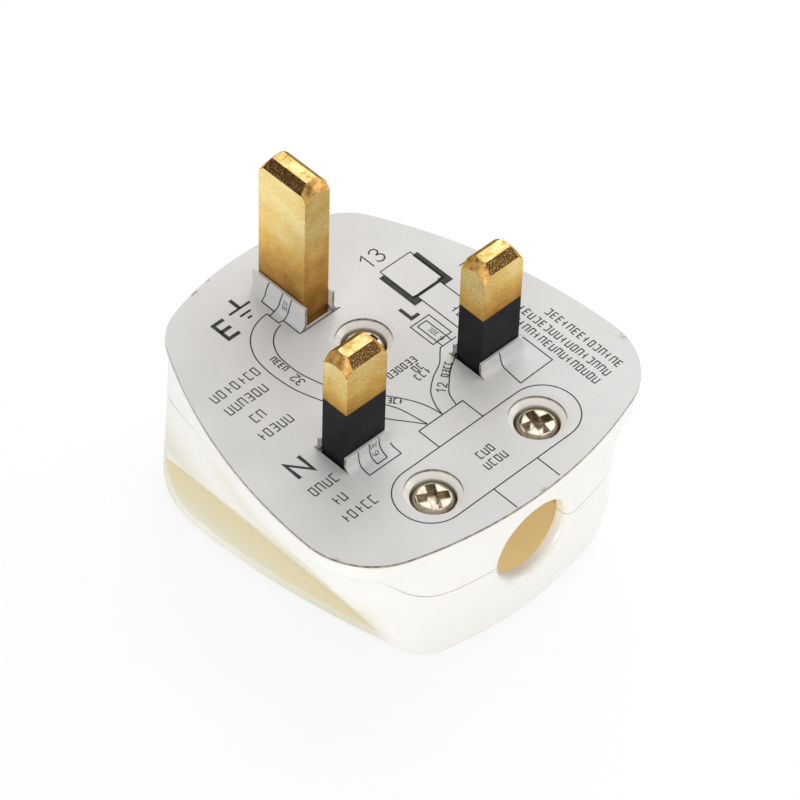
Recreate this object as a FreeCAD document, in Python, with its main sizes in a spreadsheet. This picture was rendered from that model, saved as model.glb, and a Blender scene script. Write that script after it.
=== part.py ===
import FreeCAD, Part
import math
import os
import Sketcher

# Three pin mains plug, rewirable, lying on its back with the pins up.
# Millimetres. X runs across the two line pins, +Y points to the earth pin,
# +Z is the way the pins point. Z = 0 is the back face that the plug rests on.
# The origin is the middle of the footprint of the moulded housing.

SIZES = {
    # Outline of the flat face that carries the pins, from the line pin row
    "face_front": 20.35,
    "face_back": 32.25,
    "face_front_radius": 58,
    "face_back_radius": 40.3,
    "face_half_width": 25.65,
    "face_widest": -8.2,
    "face_side_radius": 73,
    "face_front_corner": 10.4,
    "face_back_corner": 8,
    # Outline of the back of the housing, from the line pin row
    "rear_front": 19.4,
    "rear_back": 32.65,
    "rear_front_radius": 51,
    "rear_back_radius": 36,
    "rear_inset": 3.05,
    "rear_widest": 31.8,
    "rear_side_radius": 152,
    "rear_front_corner": 7,
    "rear_back_corner": 15.3,
    # Two outlines on the way up, which draw the corners in half way
    "flange_level": 4,
    "flange_front": 19.6,
    "flange_back": 32.57,
    "flange_front_radius": 50.8,
    "flange_back_radius": 36.9,
    "flange_inset": 4.75,
    "flange_widest": 12.34,
    "flange_side_radius": 114,
    "flange_front_corner": 4.8,
    "flange_back_corner": 14,
    "waist_level": 12.5,
    "waist_front": 20.03,
    "waist_back": 32.39,
    "waist_front_radius": 54.1,
    "waist_back_radius": 38.8,
    "waist_inset": 3.07,
    "waist_widest": -3.29,
    "waist_side_radius": 82.5,
    "waist_front_corner": 14,
    "waist_back_corner": 10.8,
    # Moulded housing
    "body_depth": 21.4,
    "plate": 2.4,
    "wall": 2,
    "floor": 2.2,
    "rear_round": 1.6,
    "rim_draft": 0.45,
    "face_round": 0.3,
    "grip_inset": 7.25,
    "grip_height": 4.4,
    "grip_taper": 0.5,
    "grip_flare": 1.4,
    "seam_drop": 8.9,
    "seam_flat": 16.4,
    "seam_round": 6,
    "seam_lean": 1.11,
    "seam_gap": 0.14,
    "cord_bore": 11.2,
    "cord_mouth": 1,
    # Pins and their spacing
    "pin_span": 22.23,
    "pin_row_gap": 22.22,
    "pin_thick": 4,
    "line_pin_width": 6.35,
    "line_pin_reach": 17.7,
    "line_tip_width": 4.41,
    "earth_pin_width": 8,
    "earth_pin_reach": 22.73,
    "earth_tip_width": 6.06,
    "tip_bevel": 1.16,
    "tip_cone_ratio": 0.7,
    "sleeve_reach": 9.44,
    "sleeve_wall": 0.6,
    "pin_clear": 0.08,
    # Terminal blocks on the pins
    "block_width": 7.5,
    "block_length": 9,
    "block_height": 7,
    "block_shift": 0.5,
    "wire_hole": 4,
    "wire_hole_drop": 3.6,
    "clamp_hole": 3,
    # Clamp screws of the terminals
    "clamp_head": 5.2,
    "clamp_head_height": 2.2,
    "clamp_shank": 3,
    "clamp_length": 3.2,
    "clamp_slot": 0.9,
    # Screws put in from the face
    "recess": 5.72,
    "recess_mouth": 6.9,
    "recess_bevel": 0.59,
    "recess_seat": 2.65,
    "screw_head": 5.2,
    "screw_head_height": 2.2,
    "screw_head_round": 0.8,
    "cross_width": 1.15,
    "cross_length": 3.9,
    "cross_depth": 1.2,
    "boss_wall": 1.3,
    # Cover screw, its pillar and its nut
    "cover_screw_x": 1.68,
    "cover_screw_y": 11.55,
    "cover_screw_shank": 3.5,
    "cover_screw_end": 5.75,
    "cover_boss_drop": 5.6,
    "pillar_width": 9.6,
    "nut_size": 6,
    "nut_height": 2.6,
    "nut_level": 8.4,
    "screw_clear": 0.15,
    # Cord grip
    "grip_x": -0.6,
    "grip_y": -11.58,
    "grip_span": 17.2,
    "grip_boss_drop": 5.2,
    "grip_screw_shank": 3,
    "grip_screw_end": 7.25,
    "bar_width": 7,
    "bar_height": 2.6,
    "bar_overhang": 4.2,
    # Fuse, its clips and the contact plates that carry them
    "contact_plate": 2.6,
    "fuse_length": 25.4,
    "fuse_width": 6.35,
    "fuse_x": -12.3,
    "fuse_shift": 9.4,
    "cap_length": 6,
    "cap_wall": 0.4,
    "tube_bore": 3,
    "fuse_wire": 0.4,
    "clip_strip": 0.55,
    "clip_length": 5.2,
    "clip_gap": 4,
    "clip_seat": 3,
    "clip_clear": 0.03,
    "live_head": 8,
    "load_plate_width": 9.8,
    "load_plate_length": 7.2,
    "load_block_x": -6.2,
    "load_block_back": 8.1,
    "load_block_width": 5.2,
    "load_block_length": 10.4,
    "rib": 1.1,
    "rib_drop": 4,
    # Printed wiring card
    "card": 0.35,
    "card_margin": 0.15,
    "card_hole_rim": 0.1,
    "flap_bend": 0.9,
    "line_flap_height": 2.5,
    "earth_flap_height": 3.75,
    "line_flap_extra": 0.6,
    "earth_flap_extra": 1.3,
}

doc = FreeCAD.newDocument("three_pin_plug")
sheet = doc.addObject("Spreadsheet::Sheet", "Sizes")


class Size:
    """A length that is known as a number and as a formula over the sheet."""

    def __init__(self, value, text):
        self.value = value
        self.text = text

    def __add__(self, other):
        other = as_size(other)
        return Size(self.value + other.value, "(%s + %s)" % (self.text, other.text))

    def __sub__(self, other):
        other = as_size(other)
        return Size(self.value - other.value, "(%s - %s)" % (self.text, other.text))

    def __mul__(self, other):
        other = as_size(other)
        return Size(self.value * other.value, "(%s * %s)" % (self.text, other.text))

    def __truediv__(self, other):
        other = as_size(other)
        return Size(self.value / other.value, "(%s / %s)" % (self.text, other.text))

    def __neg__(self):
        return Size(-self.value, "(0 - %s)" % self.text)


def as_size(thing):
    return thing if isinstance(thing, Size) else Size(float(thing), repr(float(thing)))


def fill_sheet():
    for row, (alias, value) in enumerate(SIZES.items(), 1):
        sheet.set("A%d" % row, alias)
        sheet.set("B%d" % row, str(value))
        sheet.setAlias("B%d" % row, alias)
    doc.recompute()


def cell(alias):
    return Size(float(SIZES[alias]), "Sizes." + alias)


fill_sheet()

# Levels above the back face
FACE = cell("body_depth")
PLATE_UNDER = FACE - cell("plate")
SEAM = FACE - cell("seam_drop")
SEAT = FACE - cell("recess_seat")
SLEEVE_TOP = FACE + cell("sleeve_reach")
CARD_TOP = FACE + cell("card")

# Places seen from above
PIN_ROW = (cell("face_front") - cell("rear_back")) / 2
EARTH_ROW = PIN_ROW + cell("pin_row_gap")
LINE_X = cell("pin_span") / 2
COVER_SCREW = (cell("cover_screw_x"), PIN_ROW + cell("cover_screw_y"))
GRIP_LEFT = (cell("grip_x") - cell("grip_span") / 2, PIN_ROW + cell("grip_y"))
GRIP_RIGHT = (cell("grip_x") + cell("grip_span") / 2, PIN_ROW + cell("grip_y"))
FUSE_Y = PIN_ROW + cell("fuse_shift")
FUSE_LEVEL = PLATE_UNDER - cell("contact_plate") - cell("clip_strip") - cell("clip_clear") - cell("fuse_width") / 2
LOAD_X = cell("load_block_x")
LOAD_Y = FUSE_Y + (cell("fuse_length") - cell("cap_length")) / 2 - cell("load_block_back")
CROSS = FreeCAD.Rotation(FreeCAD.Vector(1, 0, 0), 90)


def bind(thing, prop, size):
    """Ties a property of an object to a size."""
    thing.setExpression(prop, as_size(size).text)


def place(thing, at):
    for axis, size in zip("xyz", at):
        bind(thing, "Placement.Base." + axis, size)


def box(name, size, at):
    """A block whose middle in X and Y and lowest Z are given."""
    made = doc.addObject("Part::Box", name)
    for prop, length in zip(("Length", "Width", "Height"), size):
        bind(made, prop, length)
    place(made, (as_size(at[0]) - as_size(size[0]) / 2, as_size(at[1]) - as_size(size[1]) / 2, at[2]))
    return made


def rod(name, diameter, height, at):
    """A cylinder that stands on its lowest Z."""
    made = doc.addObject("Part::Cylinder", name)
    bind(made, "Radius", as_size(diameter) / 2)
    bind(made, "Height", height)
    place(made, at)
    return made


def funnel(name, narrow, wide, height, at):
    """A cone that opens upward from its lowest Z."""
    made = doc.addObject("Part::Cone", name)
    bind(made, "Radius1", as_size(narrow) / 2)
    bind(made, "Radius2", as_size(wide) / 2)
    bind(made, "Height", height)
    place(made, at)
    return made


def lying_rod(name, diameter, length, at):
    """A cylinder along Y whose middle is given."""
    made = doc.addObject("Part::Cylinder", name)
    bind(made, "Radius", as_size(diameter) / 2)
    bind(made, "Height", length)
    made.Placement = FreeCAD.Placement(FreeCAD.Vector(), CROSS)
    place(made, (at[0], as_size(at[1]) + as_size(length) / 2, at[2]))
    return made


def join(name, parts):
    made = doc.addObject("Part::MultiFuse", name)
    made.Shapes = parts
    made.Refine = True
    return made


def cut(name, base, tools):
    made = doc.addObject("Part::Cut", name)
    made.Base = base
    made.Tool = tools[0] if len(tools) == 1 else join(name + "_tools", tools)
    made.Refine = True
    return made


def common(name, first, second):
    made = doc.addObject("Part::Common", name)
    made.Base = first
    made.Tool = second
    made.Refine = True
    return made


def group(name, parts):
    """Like pieces, each its own solid, under one name."""
    made = doc.addObject("Part::Compound", name)
    made.Links = parts
    return made


def mirrored(name, source):
    """The same form on the other side of the middle plane."""
    made = doc.addObject("Part::Mirroring", name)
    made.Source = source
    made.Normal = FreeCAD.Vector(1, 0, 0)
    return made


def extrude(name, sketch, direction, length, symmetric=False):
    made = doc.addObject("Part::Extrusion", name)
    made.Base = sketch
    made.DirMode = "Custom"
    made.Dir = FreeCAD.Vector(*direction)
    made.Solid = True
    made.Symmetric = symmetric
    bind(made, "LengthFwd", length)
    return made


def loft(name, sections):
    """Solid through its sections: straight between two, smooth through more."""
    made = doc.addObject("Part::Loft", name)
    made.Sections = sections
    made.Solid = True
    made.Ruled = len(sections) == 2
    return made


def datum(sketch, kind, places, size):
    """A dimension of a sketch, tied to its size."""
    size = as_size(size)
    index = sketch.addConstraint(Sketcher.Constraint(kind, *places, size.value))
    if "Sizes." in size.text:
        sketch.setExpression("Constraints[%d]" % index, size.text)


def fix_point(sketch, geometry, point, x, y):
    datum(sketch, "DistanceX", (-1, 1, geometry, point), x)
    datum(sketch, "DistanceY", (-1, 1, geometry, point), y)


def vector(x, y):
    return FreeCAD.Vector(x, y, 0)


def corner_centre(first, second, radius, end):
    """Middle of the corner arc inside two large arcs, at the front (-1) or back (1) of the outline."""
    (x1, y1, r1), (x2, y2, r2) = first, second
    a, b = r1 - radius, r2 - radius
    dx, dy = x2 - x1, y2 - y1
    span = math.hypot(dx, dy)
    along = (a * a - b * b + span * span) / (2 * span)
    across = math.sqrt(a * a - along * along)
    spots = [(x1 + (along * dx - side * across * dy) / span, y1 + (along * dy + side * across * dx) / span)
             for side in (1, -1)]
    return max(spots, key=lambda spot: spot[1] * end)


def bearing(start, end):
    return math.atan2(end[1] - start[1], end[0] - start[0])


def half_width(key):
    """Half the width of an outline, all of which follow the face."""
    face = cell("face_half_width")
    return face if key == "face" else face - cell(key + "_inset")


def outline(name, key, level, inset):
    """Closed outline of eight tangent arcs, the same on both sides of the middle plane."""
    sketch = flat_sketch(name, level)
    size = lambda word: cell(key + "_" + word)
    front_y = PIN_ROW - size("front") + size("front_radius")
    back_y = PIN_ROW + size("back") - size("back_radius")
    side_x = half_width(key) - size("side_radius")
    side_y = PIN_ROW + size("widest")
    radii = [size(word) - inset for word in
             ("front_radius", "front_corner", "side_radius", "back_corner", "back_radius")]
    front, front_corner, side, back_corner, back = [size.value for size in radii]
    middle_front = (0, front_y.value)
    middle_side = (side_x.value, side_y.value)
    middle_back = (0, back_y.value)
    corner_front = corner_centre(middle_front + (front,), middle_side + (side,), front_corner, -1)
    corner_back = corner_centre(middle_back + (back,), middle_side + (side,), back_corner, 1)
    turns = [bearing(middle_front, corner_front), bearing(middle_side, corner_front),
             bearing(middle_side, corner_back), bearing(middle_back, corner_back)]
    turns += [math.pi - turn for turn in reversed(turns)]
    half = [corner_front, middle_side, corner_back]
    centres = half + [middle_back] + [(-x, y) for x, y in reversed(half)] + [middle_front]
    lengths = [front_corner, side, back_corner, back, back_corner, side, front_corner, front]
    for index, (centre, radius) in enumerate(zip(centres, lengths)):
        start = turns[index]
        end = turns[(index + 1) % 8]
        circle = Part.Circle(vector(*centre), FreeCAD.Vector(0, 0, 1), radius)
        sketch.addGeometry(Part.ArcOfCircle(circle, start, end if end > start else end + 2 * math.pi))
    for index in range(8):
        sketch.addConstraint(Sketcher.Constraint("Tangent", index, 2, (index + 1) % 8, 1))
    for index, radius in zip((7, 0, 1, 2, 3), radii):
        datum(sketch, "Radius", (index,), radius)
    for index, same in ((4, 2), (5, 1), (6, 0)):
        sketch.addConstraint(Sketcher.Constraint("Equal", index, same))
    for index, y in ((7, front_y), (3, back_y)):
        sketch.addConstraint(Sketcher.Constraint("PointOnObject", index, 3, -2))
        datum(sketch, "DistanceY", (-1, 1, index, 3), y)
    fix_point(sketch, 1, 3, side_x, side_y)
    fix_point(sketch, 5, 3, -side_x, side_y)
    return sketch


def flat_sketch(name, level):
    """A sketch that lies flat at a height."""
    sketch = doc.addObject("Sketcher::SketchObject", name)
    bind(sketch, "Placement.Base.z", level)
    return sketch


def upright_sketch(name, turn=0):
    """A sketch that stands on the XZ plane, or on the YZ plane when turned by 90."""
    sketch = doc.addObject("Sketcher::SketchObject", name)
    spin = FreeCAD.Rotation(FreeCAD.Vector(0, 0, 1), turn)
    sketch.Placement = FreeCAD.Placement(FreeCAD.Vector(), spin.multiply(CROSS))
    return sketch


def polygon(sketch, corners):
    """Straight edges through the corners, with a third value as the radius of a rounded one."""
    count = len(corners)
    points = [(as_size(c[0]).value, as_size(c[1]).value) for c in corners]
    trims = []
    for index, corner in enumerate(corners):
        here = points[index]
        before, after = points[index - 1], points[(index + 1) % count]
        into = bearing(before, here)
        out = bearing(here, after)
        turn = (out - into + math.pi) % (2 * math.pi) - math.pi
        radius = as_size(corner[2]).value if len(corner) > 2 else 0
        trims.append((radius * abs(math.tan(turn / 2)), into, out, turn, radius))
    starts, ends = [], []
    for (x, y), (trim, into, out, turn, radius) in zip(points, trims):
        ends.append((x - trim * math.cos(into), y - trim * math.sin(into)))
        starts.append((x + trim * math.cos(out), y + trim * math.sin(out)))
    lines = [sketch.addGeometry(Part.LineSegment(vector(*starts[i]), vector(*ends[(i + 1) % count])))
             for i in range(count)]
    for index, corner in enumerate(corners):
        before, after = lines[index - 1], lines[index]
        if len(corner) < 3:
            sketch.addConstraint(Sketcher.Constraint("Coincident", before, 2, after, 1))
            fix_point(sketch, after, 1, corner[0], corner[1])
            continue
        trim, into, out, turn, radius = trims[index]
        side = math.copysign(math.pi / 2, turn)
        centre = (ends[index][0] + radius * math.cos(into + side), ends[index][1] + radius * math.sin(into + side))
        first, last = bearing(centre, ends[index]), bearing(centre, starts[index])
        if turn < 0:
            first, last = last, first
        circle = Part.Circle(vector(*centre), FreeCAD.Vector(0, 0, 1), radius)
        arc = sketch.addGeometry(Part.ArcOfCircle(circle, first, last if last > first else last + 2 * math.pi))
        tip = sketch.addGeometry(Part.Point(vector(*points[index])), True)
        sketch.addConstraint(Sketcher.Constraint("Tangent", before, 2, arc, 1 if turn > 0 else 2))
        sketch.addConstraint(Sketcher.Constraint("Tangent", after, 1, arc, 2 if turn > 0 else 1))
        datum(sketch, "Radius", (arc,), corner[2])
        sketch.addConstraint(Sketcher.Constraint("PointOnObject", tip, 1, before))
        sketch.addConstraint(Sketcher.Constraint("PointOnObject", tip, 1, after))
        fix_point(sketch, tip, 1, corner[0], corner[1])
    return sketch


def new_body(name):
    return doc.addObject("PartDesign::Body", name)


def body_sketch(body, name, plane, level=None):
    """A sketch on one of the body's own origin planes, raised to a level."""
    sketch = body.newObject("Sketcher::SketchObject", name)
    support = [item for item in body.Origin.OriginFeatures if item.Role == plane][0]
    sketch.AttachmentSupport = [(support, "")]
    sketch.MapMode = "FlatFace"
    if level is not None:
        bind(sketch, "AttachmentOffset.Base.z", level)
    return sketch


def rectangle(sketch, width, depth, x=0, y=0):
    """Four edges round a middle point."""
    west, east = as_size(x) - as_size(width) / 2, as_size(x) + as_size(width) / 2
    south, north = as_size(y) - as_size(depth) / 2, as_size(y) + as_size(depth) / 2
    return polygon(sketch, [(west, south), (east, south), (east, north), (west, north)])


def circle(sketch, diameter, x=0, y=0):
    """A round hole or rod round a middle point."""
    radius = as_size(diameter) / 2
    centre = vector(as_size(x).value, as_size(y).value)
    index = sketch.addGeometry(Part.Circle(centre, FreeCAD.Vector(0, 0, 1), radius.value))
    datum(sketch, "Radius", (index,), radius)
    fix_point(sketch, index, 3, x, y)
    return sketch


def pad(body, sketch, length):
    made = body.newObject("PartDesign::Pad", sketch.Name + "_pad")
    made.Profile = sketch
    bind(made, "Length", length)
    return made


def pocket(body, sketch, length, upward=False):
    made = body.newObject("PartDesign::Pocket", sketch.Name + "_pocket")
    made.Profile = sketch
    made.Reversed = upward
    bind(made, "Length", length)
    return made


def turned(body, sketch, kind):
    """A form turned about the body's upright axis."""
    made = body.newObject("PartDesign::" + kind, sketch.Name + "_turned")
    made.Profile = sketch
    axis = [item for item in body.Origin.OriginFeatures if item.Role == "Z_Axis"][0]
    made.ReferenceAxis = (axis, [""])
    made.Angle = 360
    return made


# Housing


def side_walls(name, floor_level, inset):
    """Form between the back and the plate, drawn in at the corners half way up."""
    levels = (("rear", floor_level), ("flange", cell("flange_level")), ("waist", cell("waist_level")))
    sections = [outline("%s_%s_line" % (name, key), key, level, inset) for key, level in levels]
    sections.append(outline(name + "_face_line", "face", PLATE_UNDER, inset + cell("rim_draft")))
    walls = loft(name + "_loft", sections)
    right = finger_grip(name + "_grip_right", inset)
    return cut(name + "_walls", walls, [right, mirrored(name + "_grip_left", right)])


def housing_block():
    """The whole outer form: a rim round the face and walls that lean in to the back."""
    rim = loft("housing_rim", [outline("rim_low_line", "face", PLATE_UNDER, cell("rim_draft")),
                               outline("rim_top_line", "face", FACE, as_size(0))])
    solid = join("housing_solid", [rim, side_walls("housing", as_size(0), as_size(0))])
    return rounded_edges(cut("housing_bored", solid, [cord_bore()]))


def finger_grip(name, inset):
    """Straight scoop along one side, deepest low down, with a flange under it to pull on."""
    deep = half_width("grip") - inset
    reach = cell("face_half_width") + cell("wall") * 2
    high = cell("grip_height") + (reach - deep) / cell("grip_taper")
    low = cell("grip_height") - (reach - deep) / cell("grip_flare")
    line = polygon(upright_sketch(name + "_line"), [(deep, cell("grip_height")), (reach, low), (reach, high)])
    return extrude(name, line, (0, 1, 0), cell("face_back") * 4, True)


def cord_bore():
    """Round way in for the cord, half in the base and half in the cover."""
    return lying_rod("cord_bore", cell("cord_bore"), cell("face_front"), (0, PIN_ROW - cell("face_front"), SEAM))


def rounded_edges(block):
    """Soft edges round the face, round the back and round the cord's way in."""
    doc.recompute()
    edges = block.Shape.Edges
    face_z, bore = FACE.value, cell("cord_bore").value / 2
    flat = lambda edge, z: abs(edge.BoundBox.ZMin - z) < 1e-4 and abs(edge.BoundBox.ZMax - z) < 1e-4
    round_bore = lambda edge: all(abs(math.hypot(p.x, p.z - SEAM.value) - bore) < 1e-3 for p in edge.discretize(7))
    at_front = lambda edge: edge.BoundBox.YMax < PIN_ROW.value - cell("face_front").value / 2
    chosen = (("face_round", lambda edge: flat(edge, face_z)), ("rear_round", lambda edge: flat(edge, 0)),
              ("cord_mouth", lambda edge: round_bore(edge) and at_front(edge) and edge.BoundBox.YLength < bore))
    body = doc.addObject("PartDesign::Body", "housing")
    body.BaseFeature = block
    feature = body.Tip
    for alias, test in chosen:
        doc.recompute()
        names = ["Edge%d" % (index + 1) for index, edge in enumerate(feature.Shape.Edges) if test(edge)]
        made = body.newObject("PartDesign::Fillet", "housing_" + alias)
        made.Base = (feature, names)
        bind(made, "Radius", cell(alias))
        feature = made
    return body


def seam_block(name, lift):
    """Everything above the line where base and cover meet, which climbs to the plate at both sides."""
    far = cell("face_half_width") + cell("plate") * 2
    flat = SEAM + lift
    lean_end = cell("seam_flat") + (PLATE_UNDER - SEAM) / cell("seam_lean")
    top = FACE + cell("plate") * 2
    corners = [(cell("seam_flat"), flat, cell("seam_round")), (lean_end, PLATE_UNDER), (far, PLATE_UNDER),
               (far, top), (-far, top), (-far, PLATE_UNDER), (-lean_end, PLATE_UNDER),
               (-cell("seam_flat"), flat, cell("seam_round"))]
    line = polygon(upright_sketch(name + "_line"), corners)
    return extrude(name, line, (0, 1, 0), cell("face_back") * 4, True)


def pin_hole(name, width, depth, x, y):
    clear = cell("pin_clear") * 2
    return box(name, (as_size(width) + clear, as_size(depth) + clear, cell("plate") * 3),
               (x, y, PLATE_UNDER - cell("plate")))


def screw_way(name, spot, shank):
    """Counterbore from the face with a bevelled mouth, and the clearance hole under it."""
    wide = cell("recess_mouth") * 2 - cell("recess")
    return [rod(name + "_recess", cell("recess"), cell("recess_seat") * 2, (spot[0], spot[1], SEAT)),
            funnel(name + "_mouth", cell("recess"), wide, cell("recess_bevel") * 2,
                   (spot[0], spot[1], FACE - cell("recess_bevel"))),
            rod(name + "_hole", as_size(shank) + cell("screw_clear") * 2, cell("body_depth"), (spot[0], spot[1], 0))]


def base_boss(name, spot, drop):
    """Tube under the plate that takes a screw head's recess."""
    return rod(name, cell("recess") + cell("boss_wall") * 2, as_size(drop) - cell("plate") / 2,
               (spot[0], spot[1], FACE - drop))


def block_rib(name, x, y, width, side):
    """Rib beside a terminal block, so that it can't turn."""
    away = (as_size(width) + cell("rib")) / 2 + cell("pin_clear")
    return box(name, (cell("rib"), cell("block_length") - cell("rib"), cell("rib_drop") + cell("plate") / 2),
               (as_size(x) + away * side, y, PLATE_UNDER - cell("rib_drop")))


def build_base(housing, room):
    """Moulding that carries the pins: face plate, its walls at both ends, bosses and ribs."""
    half = common("base_half", housing, seam_block("base_seam", cell("seam_gap")))
    hollow = cut("base_hollow", half, [room])
    earth_y = EARTH_ROW + cell("block_shift")
    neutral_y = PIN_ROW + cell("block_shift")
    additions = [base_boss("cover_screw_boss", COVER_SCREW, cell("cover_boss_drop")),
                 base_boss("grip_boss_left", GRIP_LEFT, cell("grip_boss_drop")),
                 base_boss("grip_boss_right", GRIP_RIGHT, cell("grip_boss_drop"))]
    for name, x, y in (("earth_rib", as_size(0), earth_y), ("neutral_rib", LINE_X, neutral_y)):
        additions += [block_rib(name + word, x, y, cell("block_width"), side)
                      for word, side in (("_left", -1), ("_right", 1))]
    solid = join("base_solid", [hollow] + additions)
    tools = [pin_hole("earth_pin_hole", cell("pin_thick"), cell("earth_pin_width"), 0, EARTH_ROW),
             pin_hole("neutral_pin_hole", cell("line_pin_width"), cell("pin_thick"), LINE_X, PIN_ROW),
             pin_hole("live_pin_hole", cell("line_pin_width"), cell("pin_thick"), -LINE_X, PIN_ROW)]
    tools += screw_way("cover_way", COVER_SCREW, cell("cover_screw_shank"))
    tools += screw_way("grip_way_left", GRIP_LEFT, cell("grip_screw_shank"))
    tools += screw_way("grip_way_right", GRIP_RIGHT, cell("grip_screw_shank"))
    return cut("base_shell", solid, tools)


def build_cover(housing, room):
    """Back moulding: the tub with its finger grips, the screw pillar and the hold-down posts."""
    half = cut("cover_half", housing, [seam_block("cover_seam", as_size(0))])
    hollow = cut("cover_hollow", half, [room])
    x, y = COVER_SCREW
    top = FACE - cell("cover_boss_drop")
    low = cell("floor") / 2
    posts = [rod("screw_pillar", cell("pillar_width"), top - low, (x, y, low))]
    block_under = PLATE_UNDER - cell("block_height")
    for name, post_x, post_y in (("earth_post", as_size(0), EARTH_ROW), ("neutral_post", LINE_X, PIN_ROW)):
        edge = post_y + cell("block_shift") + cell("block_length") / 2 - cell("rib")
        posts.append(box(name, (cell("block_width") - cell("rib"), cell("rib"), block_under - low),
                         (post_x, edge, low)))
    solid = join("cover_solid", [hollow] + posts)
    shank_way = cell("cover_screw_shank") + cell("screw_clear") * 2
    slot = cell("nut_size") + cell("screw_clear") * 2
    tools = [rod("pillar_hole", shank_way, top - cell("floor") * 2, (x, y, cell("floor") * 2)),
             box("nut_slot", (slot + cell("pillar_width"), slot, cell("nut_height") + cell("screw_clear") * 2),
                 (x + cell("pillar_width") / 2, y, cell("nut_level") - cell("screw_clear")))]
    return cut("cover_shell", solid, tools)


# Wiring card


def card_flap(name, side, half, length, height, middle, across):
    """Strip of the card that is bent up round a bend and stands against a pin's flat side."""
    near = as_size(half) + cell("pin_clear")
    far = near + cell("card") + cell("flap_bend")
    top = FACE + height
    across_pin = lambda distance: as_size(middle) + as_size(distance) * side
    corners = [(across_pin(near), FACE, cell("flap_bend") + cell("card")), (across_pin(near), top),
               (across_pin(near + cell("card")), top),
               (across_pin(near + cell("card")), CARD_TOP, cell("flap_bend")),
               (across_pin(far + cell("card")), CARD_TOP), (across_pin(far + cell("card")), FACE)]
    turn = 90 if across == "y" else 0
    line = polygon(upright_sketch(name + "_line", turn), corners)
    direction = (1, 0, 0) if across == "y" else (0, 1, 0)
    return extrude(name, line, direction, length, True)


def pin_window(name, width, depth, x, y):
    reach = (cell("pin_clear") + cell("card") + cell("flap_bend")) * 2
    return box(name, (as_size(width), as_size(depth) + reach, cell("card") * 3), (x, y, FACE - cell("card")))


def turned_window(name, width, depth, x, y):
    reach = (cell("pin_clear") + cell("card") + cell("flap_bend")) * 2
    return box(name, (as_size(width) + reach, as_size(depth), cell("card") * 3), (x, y, FACE - cell("card")))


def build_card():
    """Thin printed card over the face, slit at each pin so that two flaps stand up against it."""
    line = outline("card_line", "face", FACE, cell("card_margin"))
    sheet_form = extrude("card_sheet", line, (0, 0, 1), cell("card"))
    line_length = cell("line_pin_width") + cell("line_flap_extra")
    earth_length = cell("earth_pin_width") + cell("earth_flap_extra")
    holes = [pin_window("neutral_window", line_length, cell("pin_thick"), LINE_X, PIN_ROW),
             pin_window("live_window", line_length, cell("pin_thick"), -LINE_X, PIN_ROW),
             turned_window("earth_window", cell("pin_thick"), earth_length, 0, EARTH_ROW)]
    hole_size = cell("recess_mouth") + cell("card_hole_rim") * 2
    for name, spot in (("cover", COVER_SCREW), ("grip_left", GRIP_LEFT), ("grip_right", GRIP_RIGHT)):
        holes.append(rod(name + "_card_hole", hole_size, cell("card") * 3, (spot[0], spot[1], FACE - cell("card"))))
    plate = cut("card_plate", sheet_form, holes)
    flaps = []
    for name, x in (("neutral", LINE_X), ("live", -LINE_X)):
        for word, side in (("front", -1), ("back", 1)):
            flap = card_flap("%s_flap_%s" % (name, word), side, cell("pin_thick") / 2, line_length,
                             cell("line_flap_height"), PIN_ROW, "y")
            bind(flap, "Placement.Base.x", x)
            flaps.append(flap)
    for word, side in (("left", -1), ("right", 1)):
        flap = card_flap("earth_flap_" + word, side, cell("pin_thick") / 2, earth_length,
                         cell("earth_flap_height"), 0, "x")
        bind(flap, "Placement.Base.y", EARTH_ROW)
        flaps.append(flap)
    return join("wiring_card", [plate] + flaps)


# Pins


def bevel_tip(body, width, tip_width, top, along_x):
    """Two flat bevels on the long sides and a turned cone on the ends of a pin."""
    half = cell("pin_thick") / 2
    drop = cell("tip_bevel")
    plane = "YZ_Plane" if along_x else "XZ_Plane"
    for word, side in (("first", -1), ("second", 1)):
        line = body_sketch(body, "%s_%s_bevel" % (body.Name, word), plane)
        polygon(line, [(half * side, top - drop), ((half + 1) * side, top - drop - 1),
                       ((half + 1) * side, top + 1), ((half - drop - 1) * side, top + 1)])
        sides = pocket(body, line, as_size(width) * 2)
        sides.Midplane = True
    cone = body_sketch(body, body.Name + "_cone_line", "XZ_Plane")
    start = as_size(tip_width) / 2
    reach = as_size(width) / 2 + 1
    polygon(cone, [(start, top), (reach, top - (reach - start) / cell("tip_cone_ratio")), (reach, top + 1),
                   (start, top + 1)])
    turned(body, cone, "Groove")


def wire_and_clamp_holes(body, x, y, level, length):
    """Cross hole for the wire and the threaded hole of the clamp screw under it."""
    wire = body_sketch(body, body.Name + "_wire_line", "XZ_Plane")
    circle(wire, cell("wire_hole"), x, PLATE_UNDER - cell("wire_hole_drop"))
    through = pocket(body, wire, as_size(length) * 8)
    through.Midplane = True
    clamp = body_sketch(body, body.Name + "_clamp_line", "XY_Plane", level)
    circle(clamp, cell("clamp_hole"), x, y)
    pocket(body, clamp, cell("block_height") - cell("wire_hole_drop"), True)


def build_earth_pin():
    """Solid brass earth pin with its terminal block."""
    body = new_body("earth_pin")
    level = PLATE_UNDER - cell("block_height")
    block = body_sketch(body, "earth_block", "XY_Plane", level)
    pad(body, rectangle(block, cell("block_width"), cell("block_length"), 0, cell("block_shift")), cell("block_height"))
    shank = body_sketch(body, "earth_shank", "XY_Plane", PLATE_UNDER)
    top = FACE + cell("earth_pin_reach")
    pad(body, rectangle(shank, cell("pin_thick"), cell("earth_pin_width")), top - PLATE_UNDER)
    bevel_tip(body, cell("earth_pin_width"), cell("earth_tip_width"), top, False)
    wire_and_clamp_holes(body, 0, cell("block_shift"), level, cell("block_length"))
    bind(body, "Placement.Base.y", EARTH_ROW)
    return body


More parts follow.
